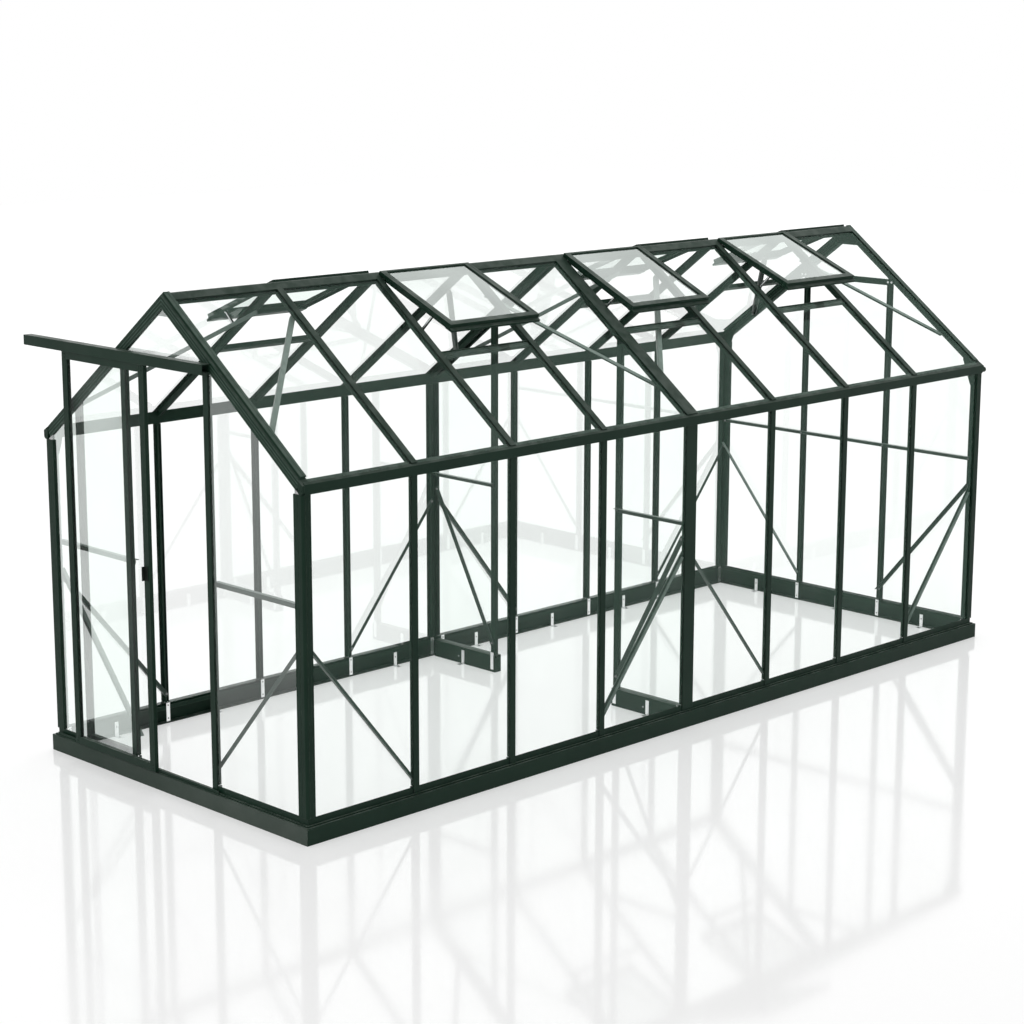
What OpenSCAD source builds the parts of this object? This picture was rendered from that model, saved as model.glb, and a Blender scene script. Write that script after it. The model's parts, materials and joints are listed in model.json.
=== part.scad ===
// Aluminium-framed greenhouse on a raised base, eight bays long and three bays wide,
// with a top-hung sliding door, six roof vents and two partition stubs at mid-length.
// Axes: X across, Y from the door gable to the rear gable, Z up. The origin is the
// middle of the underside of the door-end base rail, on the door gable's frame line.

/* [Overall] */
// Bays along each side wall
bays_long = 8; // [8:2:12]
// Distance between glazing bars along the side walls
bay_pitch = 620; // [540:10:760]
// Distance between glazing bars across the gables
gable_bay = 624; // [560:2:760]
// Height of the roof glazing line where it passes over the wall glazing line
eave_h = 1594; // [1400:1:1950]
// Pitch of the roof, in degrees
roof_pitch = 37.2; // [32:0.1:42]

/* [Base] */
// Height of the folded base rail
base_h = 78; // [60:1:110]
// Distance that the base rail stands out from the frame lines
base_out = 30; // [24:1:45]
// Thickness of the folded base sheet
base_t = 2.5; // [1.5:0.5:4]
// Height of the sill that holds the lower edge of the panes
sill_h = 36; // [34:1:60]
// Width of the bare metal strips inside the base
strip_w = 22; // [16:1:24]

/* [Glazing bars] */
// Thickness of a pane
pane_t = 4; // [3:0.5:6]
// Thickness of the seal between a pane and the cap of its bar
seal_t = 2.7; // [1.5:0.1:3]
// Width of the outer cap of a glazing bar
bar_w = 34; // [30:1:36]
// Thickness of the outer cap
cap_t = 3.6; // [2.4:0.1:4]
// Width of the inner flange that a pane rests on
flange_w = 28; // [24:1:30]
// Width of the bolt channel on the inner side of a bar
chan_w = 16; // [14:1:18]
// Depth of the bolt channel of posts and wall bars
chan_d = 18; // [14:1:22]
// Depth of the bolt channel of roof bars
roof_chan_d = 25; // [22:1:30]
// Distance that corner posts and gable rafters stand out from the frame lines
post_out = 14; // [12:1:18]
// Distance that a corner post reaches along the gable
corner_leg = 46; // [30:1:56]
// Distance that corner posts and gable rafters reach along the side walls and slopes
corner_side = 33; // [26:1:44]
// Depth of a gable rafter below the roof glazing line
rafter_d = 46; // [38:1:56]
// Width of the middle posts and of the rafters above them
middle_w = 78; // [72:1:90]

/* [Eaves and ridge] */
// Height of the eaves beam below the roof glazing line
beam_h = 52; // [45:1:65]
// Distance that the eaves beam stands out from the side wall
beam_out = 20; // [17:1:26]
// Length of the water outlet on the right-hand eaves beam
outlet_len = 24; // [15:1:45]
// Width of each wing of the ridge, along the slope
ridge_wing = 45; // [35:1:60]
// Depth of the ridge beam below the peak
ridge_d = 47; // [40:1:70]

/* [Braces and rails] */
// Width of the diagonal braces on the walls and gables
brace_w = 20; // [14:1:26]
// Depth of the standing leg of the braces on the gables
brace_leg = 20; // [14:1:26]
// Height where the side wall braces meet the posts
wall_brace_top = 898; // [880:1:1100]
// Height where the gable braces meet the corner posts
gable_brace_top = 911; // [700:1:930]
// Width of the braces under the slopes
roof_brace_w = 24; // [16:1:30]
// Depth of the standing leg of the braces under the slopes
roof_brace_leg = 21; // [14:1:26]
// Height of the cross rails in the door gable and the partition
rail_z = 1040; // [1000:1:1150]
// Height of the cross rail in the rear gable
rear_rail_z = 1048; // [1000:1:1150]

/* [Partition] */
// Distance from the middle of the greenhouse to the end of each partition stub
stub_end_x = 434; // [330:1:520]
// Distance from the end of a stub to the post that stands on it
stub_post_in = 21; // [18:1:90]
// Depth of the rail under a stub
stub_d = 46; // [40:1:60]

/* [Vents] */
// Bays with a vent on the right-hand slope
vent_bays_right = [3, 5, 7]; // [1:1:8]
// Bays with a vent on the left-hand slope
vent_bays_left = [2, 6, 8]; // [1:1:8]
// Length of a vent sash, from its hinge to its drip nose
vent_len = 555; // [480:1:640]
// Thickness of a vent sash
sash_t = 18; // [15:1:24]
// Angles that the vents on the right-hand slope stand open from the roof, in degrees
vent_open_right = [14, 11.5, 14]; // [8:0.5:30]
// Angles that the vents on the left-hand slope stand open from the roof, in degrees
vent_open_left = [15, 15, 15]; // [8:0.5:30]

/* [Door] */
// Distance from the middle of the doorway to the line of each door post
door_half = 305; // [300:1:330]
// Position of the middle of the doorway, from the middle of the gable
door_mid = -8; // [-20:1:20]
// Width of the sliding leaf
leaf_w = 636; // [620:1:680]
// Height of the underside of the leaf
leaf_z0 = 88; // [86:1:130]
// Thickness of the leaf
leaf_t = 20; // [16:1:24]
// Width of the leaf's stiles
stile_w = 39; // [30:1:50]
// Distance from the rafters, where they meet the door posts, down to the top track
track_drop = 8; // [0:1:100]
// Height of the top track
track_h = 47; // [44:1:60]
// Distance that the leaf is slid open from the middle of the doorway
leaf_open = 423; // [0:1:620]

/* [Hidden] */

frame_green = "#26382f";
bare_metal = "#c9cdd0";
pane_tint = [0.85, 0.93, 0.9, 0.35];
dark_plastic = "#1c2220";

gap = 0.3;                                  // clearance between seated pieces
eps = 0.01;
big = 4000;                                 // reach of cutting blocks

half_w = gable_bay * 1.5;                   // frame line of the side walls
length_y = bays_long * bay_pitch;           // frame line of the rear gable
mid_y = length_y / 2;                       // middle frame
part_y = mid_y + 6;                         // partition
stub_y0 = part_y - 17;                      // front face of the partition's rails
stub_sill_h = 16;
stub_groove = 8;
stub_top = base_h + stub_sill_h;
mid_bar = bays_long / 2;
bar_lines = [for (i = [1:bays_long - 1]) if (i != mid_bar) i];
braced_bays = [1, mid_bar, mid_bar + 1, bays_long];

slot_t = pane_t + 2 * gap;                  // pane with its play
cap_v = slot_t + seal_t;                    // inner face of a bar's cap
bar_out = cap_v + cap_t;                    // outer face of a bar
flange_t = 2.5;
bar_in = flange_t + chan_d;                 // inner face of wall bars and posts
roof_in = flange_t + roof_chan_d;           // inner face of roof bars
web_t = 6;
pane_edge = web_t / 2 + gap;                // bar line to pane edge
groove_d = 8;                               // depth of pane grooves in posts and rafters
bite = 6;                                   // depth that a pane reaches into a groove

door_lines = [door_mid - door_half, door_mid + door_half];
door_reach = door_half + abs(door_mid);     // post line that is farther from the middle
gable_clear = (2 * (half_w - corner_leg) - 2 * bar_w) / 3;
rear_x = (gable_clear + bar_w) / 2;         // lines of the rear gable bars
bay_clear = (mid_y - middle_w / 2 - corner_side - (mid_bar - 1) * bar_w) / mid_bar;

tan_p = tan(roof_pitch);
cos_p = cos(roof_pitch);
peak_h = eave_h + half_w * tan_p;           // roof glazing line at the middle
function roof_z(u) = eave_h - u * tan_p;    // roof line, u outwards from the side wall
function slope_s(x) = x / cos_p;            // distance down the slope to a given x
beam_z = eave_h - beam_h;
beam_in = 12;                               // inner web of the eaves beam
rafter_lip = 12;                            // depth of the wide upper part of a gable rafter
sheet_t = 2.5;                              // walls of the beam, brackets and flats
sill_top = base_h + sill_h;

// Position of bar line i; the caps leave the same clear width in every bay
function bar_y(i) = i > mid_bar ? length_y - bar_y(bays_long - i)
    : i == mid_bar ? mid_y
    : i == 0 ? 0 : corner_side + i * bay_clear + (i - 0.5) * bar_w;
middle_off = (middle_w - bar_w) / 2;        // from the middle to each bar of a double bar
// Half width of what stands on bar line i: a gable frame, a double bar or a single bar
function half_at(i, bar_half) = i == 0 || i == bays_long ? corner_side
    : i == mid_bar ? middle_off + bar_half : bar_half;
// Clear space of bay n along Y, between flanges or caps of the given half width
function clear_y0(n, bar_half) = bar_y(n - 1) + half_at(n - 1, bar_half) + gap;
function clear_y1(n, bar_half) = bar_y(n) - half_at(n, bar_half) - gap;
pane_z0 = base_h + 20;
wall_pane_z1 = beam_z + 12;
// Underside of the gable rafters at a distance x from the middle
function under_rafter(x) = peak_h - x * tan_p - rafter_d / cos_p;
track_z = under_rafter(door_reach + bar_w / 2) - track_drop;   // underside of the track
header_h = 28;
header_z = under_rafter(door_reach - bar_w / 2) - gap - header_h;
drip_u = 5;                                 // roof panes and bars reach this far out
flat_y0 = bar_in + gap;                     // inner flats lie on the bars' inner faces

// ---------------------------------------------------------------- placing helpers

// Upright on the right side wall: section x runs along the wall, section y outwards
module on_right(y, z) {
    translate([half_w, y, z]) rotate([0, 0, -90]) children();
}

// Upright on a gable: section y points away from the greenhouse
module on_gable(x, z, rear) {
    translate([x, rear ? length_y : 0, z]) rotate([0, 0, rear ? 0 : 180]) children();
}

module left_of() {
    mirror([1, 0, 0]) children();
}

module both_sides() {
    children();
    left_of() children();
}

module both_gables() {
    children();
    translate([0, length_y, 0]) mirror([0, 1, 0]) children();
}

// Frame of the right-hand slope: x down the slope, z away from the roof
module on_slope() {
    translate([0, 0, peak_h]) rotate([0, roof_pitch, 0]) children();
}

// Extrudes a section down the slope from s0 to s1: section x along Y, section y outwards
module down_slope(s0, s1, y) {
    translate([s0, y, 0]) rotate([90, 0, 90]) linear_extrude(s1 - s0) children();
}

// Extrudes a section drawn across the greenhouse along Y from y0 to y1
module along_y(y0, y1) {
    translate([0, y1, 0]) rotate([90, 0, 0]) linear_extrude(y1 - y0) children();
}

// Removes what lies above the line that runs v from the roof glazing line
module below_roof(v) {
    difference() {
        children();
        both_sides() on_slope() translate([-big, -big, v]) cube([2 * big, 4 * big, big]);
    }
}

// ---------------------------------------------------------------- sections

function both_halves(half) =
    concat(half, [for (i = [len(half) - 1:-1:0]) [-half[i][0], half[i][1]]]);

// Glazing bar: grooved cap outside, pane slots at its sides, bolt channel inside
module bar_section(inner = bar_in) {
    chan_wall = 2.2;
    slot_w = 8;
    lip = 2.5;
    chamfer = 1.2;
    polygon(both_halves([
        [1.5, bar_out - 1], [3, bar_out], [bar_w / 2 - chamfer, bar_out],
        [bar_w / 2, bar_out - chamfer], [bar_w / 2, slot_t], [bar_w / 2 - lip, slot_t],
        [bar_w / 2 - lip, cap_v], [web_t / 2, cap_v], [web_t / 2, 0], [flange_w / 2, 0],
        [flange_w / 2, -flange_t], [chan_w / 2, -flange_t], [chan_w / 2, -inner],
        [slot_w / 2, -inner], [slot_w / 2, chan_wall - inner],
        [chan_w / 2 - chan_wall, chan_wall - inner],
        [chan_w / 2 - chan_wall, -flange_t - chan_wall / 2]]));
}

module bar_cap_section() {
    translate([-bar_w / 2, cap_v]) square([bar_w, cap_t]);
}

// Two bars side by side, tied by a strip between their flanges
module double_section(inner = bar_in) {
    for (side = [-1, 1]) translate([side * middle_off, 0]) bar_section(inner);
    translate([-middle_off, -flange_t]) square([2 * middle_off, flange_t]);
}

module double_cap_section() {
    translate([-middle_w / 2, cap_v]) square([middle_w, cap_t]);
}

// Corner post at the right rear corner: hollow, with a leg along the gable and one along
// the side wall, each with a pane groove in its end
module corner_section() {
    wall = 2.5;
    round_r = 11;
    chamfer = 8;
    core = bar_in - wall;
    difference() {
        polygon(concat(
            [[-corner_leg, post_out], [-corner_leg, chamfer - bar_in],
             [chamfer - corner_leg, -bar_in], [-bar_in, -bar_in],
             [-bar_in, -corner_side], [post_out, -corner_side]],
            [for (a = [0:15:90]) [post_out - round_r + round_r * cos(a),
                                  post_out - round_r + round_r * sin(a)]]));
        translate([-corner_leg - eps, 0]) square([groove_d, slot_t]);
        translate([0, -corner_side - eps]) square([slot_t, groove_d]);
        translate([-core, -core]) square(core + post_out - wall - 2);
        for (at = [groove_d + 2, groove_d + 20]) {
            translate([at - corner_leg, post_out - 1.2]) square([2.4, 2]);
            translate([post_out - 1.2, at - corner_side]) square([2, 2.4]);
        }
    }
}

// Gable rafter, x inwards from the gable, y away from the roof
module rafter_section() {
    wall = 2.5;
    groove_v = groove_d - rafter_d;
    step_v = 2;
    difference() {
        polygon([[-post_out, -rafter_d], [4, -rafter_d], [bar_in, groove_v],
                 [bar_in, -rafter_lip], [corner_side, -rafter_lip], [corner_side, bar_out],
                 [0, bar_out], [-slot_t, step_v], [-post_out, step_v]]);
        translate([corner_side - groove_d, 0]) square([groove_d + eps, cap_v]);
        translate([-slot_t, -rafter_d - eps]) square([slot_t, groove_d]);
        translate([wall - post_out, groove_v + wall])
            square([post_out + bar_in - 2 * wall, -groove_v - 2 * wall - rafter_lip / 2]);
        for (v = [-rafter_d + 9, -rafter_d / 2, -6])
            translate([-post_out - 1, v]) square([2, 3]);
        translate([bar_in - 4, bar_out - 1]) square([3, 2]);
    }
}

// Eaves beam at the right wall, x outwards from the frame line and y up
module eave_section() {
    rise = sheet_t / cos_p;
    nose_u = drip_u + slot_t * sin(roof_pitch) + gap;
    nose = 6 / cos_p;
    web_u = sheet_t - beam_in;
    face_u = beam_out - sheet_t;
    lip_u = bar_out + 2;
    lip_z = beam_z + sheet_t;
    polygon([
        [-beam_in, beam_z], [0, beam_z], [0, lip_z], [web_u, lip_z],
        [web_u, roof_z(web_u) - rise], [face_u, roof_z(face_u) - rise], [face_u, lip_z],
        [lip_u, lip_z], [lip_u, beam_z], [beam_out, beam_z],
        [beam_out, roof_z(beam_out) + nose], [nose_u, roof_z(nose_u) + nose],
        [nose_u, roof_z(nose_u)], [-beam_in, roof_z(-beam_in)]]);
}

// Point s down the right-hand slope from the peak and v out from the roof line
function on_line(s, v) = [s * cos_p + v * sin(roof_pitch), v * cos_p - s * sin(roof_pitch)];

// Ridge beam: two pairs of wings that hold the panes, on a web with a bottom flange
module ridge_section() {
    web = 8;
    foot_w = 28;
    foot_t = 4;
    foot_lip = 3;
    top = 7;
    lip = 3;
    function line_z(x, v) = v / cos_p - x * tan_p;
    polygon(both_halves([
        [(bar_out / cos_p - top) / tan_p, top], on_line(ridge_wing, bar_out),
        on_line(ridge_wing, slot_t), on_line(ridge_wing - lip, slot_t),
        on_line(ridge_wing - lip, cap_v), [web / 2, line_z(web / 2, cap_v)],
        [web / 2, line_z(web / 2, 0)], on_line(ridge_wing, 0),
        on_line(ridge_wing, -flange_t), [web / 2, line_z(web / 2, -flange_t)],
        [web / 2, foot_t - ridge_d], [foot_w / 2 - foot_lip, foot_t - ridge_d],
        [foot_w / 2 - foot_lip, 10 - ridge_d], [foot_w / 2, 10 - ridge_d],
        [foot_w / 2, -ridge_d]]));
}

// ---------------------------------------------------------------- base and sills

// A straight run of ring around the greenhouse, u0 to u1 outwards from the frame lines
module ring(u0, u1, z0, z1) {
    translate([0, 0, z0]) linear_extrude(z1 - z0) difference() {
        translate([-half_w - u1, -u1]) square([2 * (half_w + u1), length_y + 2 * u1]);
        translate([-half_w - u0, -u0]) square([2 * (half_w + u0), length_y + 2 * u0]);
    }
}

module base_ring() {
    ring(base_out - base_t, base_out, 0, base_h);
    ring(-bar_in, base_out, base_h - base_t, base_h);
    ring(-bar_in / 2, base_out, 0, base_t);
}

module sill_ring() {
    foot = 14;
    ring(-bar_in, post_out + 4, base_h + eps, base_h + 6);
    ring(-flange_t, slot_t + 2, base_h, base_h + foot);
    ring(slot_t, slot_t + 2, base_h + foot - eps, sill_top);
    ring(-flange_t, 0, base_h + foot - eps, sill_top - 12);
    ring(-bar_in, -bar_in + 3, base_h + 5, base_h + 18);
}

// Mitred parts of a ring: the gable runs and the side runs
module gable_run() {
    d = 400;
    e = base_out + 10;
    linear_extrude(big) polygon([[-half_w - e + gap, -e], [half_w + e - gap, -e],
                                 [half_w - d, d - gap], [d - half_w, d - gap]]);
}

module side_run() {
    d = 400;
    e = base_out + 10;
    linear_extrude(big) polygon([[half_w + e, gap - e], [half_w + e, length_y + e - gap],
                                 [half_w - d + gap, length_y - d],
                                 [half_w - d + gap, d]]);
}

module base_front() {
    color(frame_green) intersection() {
        base_ring();
        gable_run();
    }
}

module base_rear() {
    color(frame_green) intersection() {
        base_ring();
        translate([0, length_y, 0]) mirror([0, 1, 0]) gable_run();
    }
}

module base_right() {
    color(frame_green) intersection() {
        base_ring();
        side_run();
    }
}

module base_left() {
    left_of() base_right();
}

module side_sills() {
    color(frame_green) both_sides() intersection() {
        sill_ring();
        side_run();
    }
}

module gable_sills() {
    color(frame_green) {
        difference() {
            intersection() {
                sill_ring();
                gable_run();
            }
            translate([door_lines[0] + flange_w / 2, -100, 0])
                cube([2 * door_half - flange_w, 200, 500]);
        }
        translate([0, length_y, 0]) mirror([0, 1, 0]) intersection() {
            sill_ring();
            gable_run();
        }
    }
}

// Folded rail of a partition stub, closed at its end and open towards the rear
module base_partition() {
    x1 = half_w - flat_y0;
    color(frame_green) both_sides() translate([stub_end_x, stub_y0, 0]) {
        rotate([90, 0, 90]) linear_extrude(x1 - stub_end_x) {
            square([base_t, base_h]);
            translate([0, base_h - base_t]) square([stub_d, base_t]);
            square([stub_d, base_t]);
        }
        cube([base_t, stub_d, base_h]);
    }
}

// Hollow sill flush with the rail under it, with a groove that the pane stands in
module partition_sills() {
    x1 = half_w - flat_y0;
    wall = 2;
    top_t = 2.5;
    pane_in = part_y - stub_y0;
    color(frame_green) both_sides() translate([stub_end_x, stub_y0, base_h + eps])
        rotate([90, 0, 90]) linear_extrude(x1 - stub_end_x) difference() {
            square([stub_d, stub_sill_h - eps]);
            translate([wall, wall])
                square([pane_in - slot_t - 2 * wall, stub_sill_h - wall - top_t]);
            translate([pane_in + wall, wall])
                square([stub_d - pane_in - 2 * wall, stub_sill_h - wall - top_t]);
            translate([pane_in - slot_t, stub_sill_h - stub_groove])
                square([slot_t, stub_groove]);
        }
}

// Upright strip with its back at y = 0, x across it
module strip(z0, z1) {
    translate([-strip_w / 2, -sheet_t, z0]) cube([strip_w, sheet_t, z1 - z0]);
}

// The same strip on the inner faces of the base and the bars
module inner_strip(z0, z1) {
    translate([0, -flat_y0, 0]) strip(z0, z1);
}

module foot_plates() {
    z0 = 14;
    z1 = sill_top - 4;
    beside = bar_w / 2 + 15;
    beside_stub = stub_y0 + stub_d + strip_w / 2 + 3;
    beside_corner = bar_in + 13;
    color(bare_metal) {
        both_sides() {
            for (i = bar_lines) on_right(bar_y(i), 0) inner_strip(z0, z1);
            for (y = [mid_y - beside, beside_stub]) on_right(y, 0) inner_strip(z0, z1);
            both_gables() on_right(beside_corner, 0) inner_strip(z0, z1);
            translate([stub_end_x + stub_post_in, stub_y0, 0]) strip(z0, z1);
        }
        for (x = door_lines) on_gable(x, 0, false) inner_strip(z0, z1);
        for (x = [-rear_x, rear_x]) on_gable(x, 0, true) inner_strip(z0, z1);
    }
}

// Strip with a foot that pins the middle of a base rail to the ground
module anchor() {
    foot_l = 38;
    strip(0, base_h);
    translate([-strip_w / 2, -foot_l, 0]) cube([strip_w, foot_l, 3]);
}

module ground_anchors() {
    inner = [0, -flat_y0, 0];
    color(bare_metal) {
        both_sides() {
            for (i = [1:bays_long])
                on_right((i - 0.5) * bay_pitch, 0) translate(inner) anchor();
            translate([(stub_end_x + half_w) / 2, stub_y0, 0]) anchor();
        }
        for (bay = [-1, 0, 1], rear = [false, true])
            on_gable(bay * gable_bay, 0, rear) translate(inner) anchor();
    }
}

// ---------------------------------------------------------------- posts and bars

module wall_post() {
    foot_z = base_h + 7;
    full_z = sill_top + gap;
    full_h = beam_z - gap - full_z;
    translate([0, 0, full_z]) linear_extrude(full_h) children(0);
    translate([0, 0, foot_z]) linear_extrude(wall_pane_z1 - foot_z) children(1);
}

module corner_posts() {
    color(frame_green) both_gables() both_sides() translate([half_w, 0, sill_top + gap])
        mirror([0, 1, 0]) linear_extrude(beam_z - gap - sill_top - gap) corner_section();
}

module middle_posts() {
    color(frame_green) both_sides() on_right(mid_y, 0) wall_post() {
        double_section();
        double_cap_section();
    }
}

module wall_bars_right() {
    color(frame_green) for (i = bar_lines) on_right(bar_y(i), 0) wall_post() {
        bar_section();
        bar_cap_section();
    }
}

module wall_bars_left() {
    left_of() wall_bars_right();
}

// Gable bar from the sill to the underside of the rafter
module gable_bar(x, rear) {
    foot_z = base_h + 7;
    below_roof(-rafter_d - gap) on_gable(x, 0, rear) {
        translate([0, 0, sill_top + gap]) linear_extrude(peak_h) bar_section();
        translate([0, 0, foot_z]) linear_extrude(peak_h) bar_cap_section();
    }
}

module door_posts() {
    color(frame_green) for (x = door_lines) gable_bar(x, false);
}

module rear_gable_bars() {
    color(frame_green) for (x = [-rear_x, rear_x]) gable_bar(x, true);
}

module partition_posts() {
    color(frame_green) both_sides() below_roof(-roof_in - gap)
        translate([stub_end_x + stub_post_in, part_y, stub_top + gap])
            rotate([0, 0, 180]) linear_extrude(peak_h) bar_section();
}

// ---------------------------------------------------------------- eaves, ridge, rafters

cap_face = 10 - post_out;                   // end of the eaves beams, inside the end caps

module eave_right() {
    color(frame_green) translate([half_w, 0, 0])
        along_y(cap_face, length_y - cap_face) eave_section();
}

module eave_left() {
    left_of() eave_right();
}

// End cap with a round lower edge at each end of the eaves beams; the one at the right
// rear corner has an outlet
module eave_caps() {
    cap_r = (beam_in + beam_out) / 2;
    outlet_r = 15;
    y0 = -post_out - 3;
    y1 = cap_face - gap;
    mid_u = beam_out - cap_r;
    color(frame_green) {
        both_sides() both_gables() translate([half_w, 0, 0]) along_y(y0, y1)
            polygon(concat(
                [[beam_out, roof_z(beam_out) + 4], [-beam_in, roof_z(-beam_in)]],
                [for (a = [180:12:360]) [mid_u + cap_r * cos(a),
                                         beam_z + cap_r + cap_r * sin(a)]]));
        translate([half_w + mid_u, length_y - y0 - eps, beam_z + cap_r + 1])
            rotate([-90, 0, 0]) cylinder(h = outlet_len, r = outlet_r, $fn = 48);
    }
}

module ridge() {
    end = corner_side + gap;
    color(frame_green) translate([0, 0, peak_h])
        along_y(end, length_y - end) ridge_section();
}

module gable_rafters() {
    color(frame_green) both_gables() both_sides() intersection() {
        on_slope() down_slope(-80, slope_s(half_w), 0) rafter_section();
        translate([gap / 2, -100, 0]) cube([half_w - beam_in - 1.5 * gap, 200, big]);
    }
}

// Rafter or glazing bar from the ridge to the eaves
module roof_bar(y, s0) {
    on_slope() {
        down_slope(s0, slope_s(half_w - beam_in - gap), y) children(0);
        down_slope(s0, slope_s(half_w + drip_u), y) children(1);
    }
}

module middle_rafters() {
    color(frame_green) both_sides() roof_bar(mid_y, ridge_wing + gap) {
        double_section(roof_in);
        double_cap_section();
    }
}

module roof_bars_right() {
    color(frame_green) for (i = bar_lines) roof_bar(bar_y(i), ridge_wing + gap) {
        bar_section(roof_in);
        bar_cap_section();
    }
}

module roof_bars_left() {
    left_of() roof_bars_right();
}

// Plate across the two rafters of a gable, under the ridge
module ridge_gussets() {
    half = 95;
    drop = 100;
    top = (rafter_lip + gap) / cos_p;
    color(frame_green) both_gables() along_y(flat_y0, flat_y0 + sheet_t)
        translate([0, peak_h])
            polygon([[0, -top], [half, -top - half * tan_p], [half, -drop],
                     [-half, -drop], [-half, -top - half * tan_p]]);
}

// Plate that joins a corner post to the foot of its rafter
module eave_gussets() {
    head_u = -bar_in - gap;
    foot_u = 5 - corner_leg;
    foot_z = beam_z - 72;
    tip_u = -95;
    top = (rafter_lip + gap) / cos_p;
    under = rafter_d / cos_p - 2;
    color(frame_green) both_gables() both_sides()
        along_y(flat_y0, flat_y0 + sheet_t) translate([half_w, 0])
            polygon([[head_u, foot_z], [head_u, roof_z(head_u) - top],
                     [tip_u, roof_z(tip_u) - top], [tip_u, roof_z(tip_u) - under],
                     [foot_u, foot_z]]);
}

// Block between the head of a corner post and the foot of its rafter
module corner_cleats() {
    color(bare_metal) below_roof(-rafter_d - gap) both_gables() both_sides()
        translate([half_w - corner_leg + bite + 1, 3 - post_out, beam_z])
            cube([corner_leg - beam_in - bite - 2, post_out + bar_in - 6, 60]);
}

// ---------------------------------------------------------------- rails and braces

// Angle bar on the inner faces of the gable bars, x0 to x1 across the gable
module inner_rail(x0, x1) {
    leg = 22;
    translate([x0, flat_y0, 0]) rotate([90, 0, 90]) linear_extrude(x1 - x0) {
        translate([0, -leg / 2]) square([sheet_t, leg]);
        translate([0, leg / 2 - sheet_t]) square([leg, sheet_t]);
    }
}

module gable_rails() {
    post_x = half_w - bar_in - gap;
    color(frame_green) {
        translate([0, 0, rail_z]) {
            inner_rail(-post_x, door_lines[0] + chan_w / 2);
            inner_rail(door_lines[1] - chan_w / 2, post_x);
        }
        translate([0, length_y, rear_rail_z]) mirror([0, 1, 0]) inner_rail(-post_x, post_x);
    }
}

// Flat bar that ties the heads of the two gable bars to the rafters
module gable_collars() {
    h = 36;
    over = 26;
    reach = door_reach + over;
    top = under_rafter(door_reach + bar_w / 2) + 28;
    color(frame_green) both_gables()
        translate([-reach, flat_y0, top - h]) cube([2 * reach, sheet_t, h]);
}

module partition_rails() {
    x0 = stub_end_x + stub_post_in - chan_w / 2;
    color(frame_green) both_sides() translate([0, part_y - bar_out + bar_in, rail_z])
        mirror([0, 1, 0]) inner_rail(x0, half_w - flat_y0);
}

// Plan of a brace from [a0, b0] to [a1, b1], cut off square: the flat, or the leg along its
// upper edge (edge = 1) or lower edge (edge = -1)
module brace(a0, b0, a1, b1, edge = 0, w = brace_w) {
    run = a1 - a0;
    rise = b1 - b0;
    at = edge * run > 0 ? w / 2 - sheet_t : -w / 2;
    translate([a0, b0]) rotate(atan2(rise, run)) translate([0, at])
        square([norm([run, rise]), edge == 0 ? w : sheet_t]);
}

module wall_brace_plans(edge) {
    top_in = 8;
    foot_z = sill_top + 35;
    brace(top_in, wall_brace_top, bar_y(1), foot_z, edge);
    brace(mid_y - middle_off, wall_brace_top, bar_y(mid_bar - 1), foot_z, edge);
    brace(mid_y + middle_off, wall_brace_top, bar_y(mid_bar + 1), foot_z, edge);
    brace(length_y - top_in, wall_brace_top, length_y - bar_y(1), foot_z, edge);
}

// Angle braces on the inner faces of the side walls, their legs outwards between the bars
module wall_braces() {
    clear = bar_in + gap;
    leg_end = 4;
    color(frame_green) both_sides() {
        translate([half_w - flat_y0 - sheet_t, 0, 0]) rotate([90, 0, 90])
            linear_extrude(sheet_t) intersection() {
                wall_brace_plans(0);
                translate([clear, 0]) square([length_y - 2 * clear, big]);
            }
        translate([half_w - flat_y0 - eps, 0, 0]) rotate([90, 0, 90])
            linear_extrude(flat_y0 - leg_end) intersection() {
                wall_brace_plans(-1);
                for (n = braced_bays) translate([clear_y0(n, chan_w / 2), 0])
                    square([clear_y1(n, chan_w / 2) - clear_y0(n, chan_w / 2), big]);
            }
    }
}

// Cuts a plan across a gable off at the legs of the corner posts
module clear_of_corners() {
    clear = half_w - flat_y0 - sheet_t - gap;
    intersection() {
        union() children();
        translate([-clear, 0]) square([2 * clear, big]);
    }
}

// Angle braces on the inner face of the door gable, down to the two posts at foot_x
module gable_brace_pair(foot_x, foot_z) {
    side_x = half_w - 10;
    for (edge = [0, 1])
        along_y(flat_y0, flat_y0 + (edge == 0 ? sheet_t : brace_leg)) clear_of_corners() {
            brace(-side_x, gable_brace_top, foot_x[0], foot_z, edge);
            brace(side_x, gable_brace_top, foot_x[1], foot_z, edge);
        }
}

module gable_braces() {
    foot_z = sill_top + 57;
    color(frame_green) {
        gable_brace_pair(door_lines, foot_z + 25);
        translate([0, length_y, 0]) mirror([0, 1, 0])
            gable_brace_pair([-rear_x, rear_x], foot_z);
    }
}

module partition_braces() {
    foot_z = sill_top + 35;
    w = 28;
    y1 = part_y - bar_out - gap;
    color(frame_green) both_sides() along_y(y1 - sheet_t, y1)
        brace(half_w - flat_y0 - w / 2, wall_brace_top + 72, stub_end_x + stub_post_in,
              foot_z, 0, w);
}

// Angle brace under the slope, from a rafter face at y0 to the glazing bar at y1
module roof_brace(y0, y1) {
    s0 = slope_s(half_w * 0.79);
    s1 = slope_s(half_w * 0.16);
    length = norm([s1 - s0, y1 - y0]);
    side = y1 > y0 ? 0 : sheet_t - roof_brace_w;
    on_slope() translate([s0, y0, -roof_in - gap]) rotate(atan2(y1 - y0, s1 - s0)) {
        translate([0, -roof_brace_w / 2, -sheet_t]) cube([length, roof_brace_w, sheet_t]);
        translate([0, roof_brace_w / 2 - sheet_t + side, -roof_brace_leg])
            cube([length, sheet_t, roof_brace_leg]);
    }
}

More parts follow.
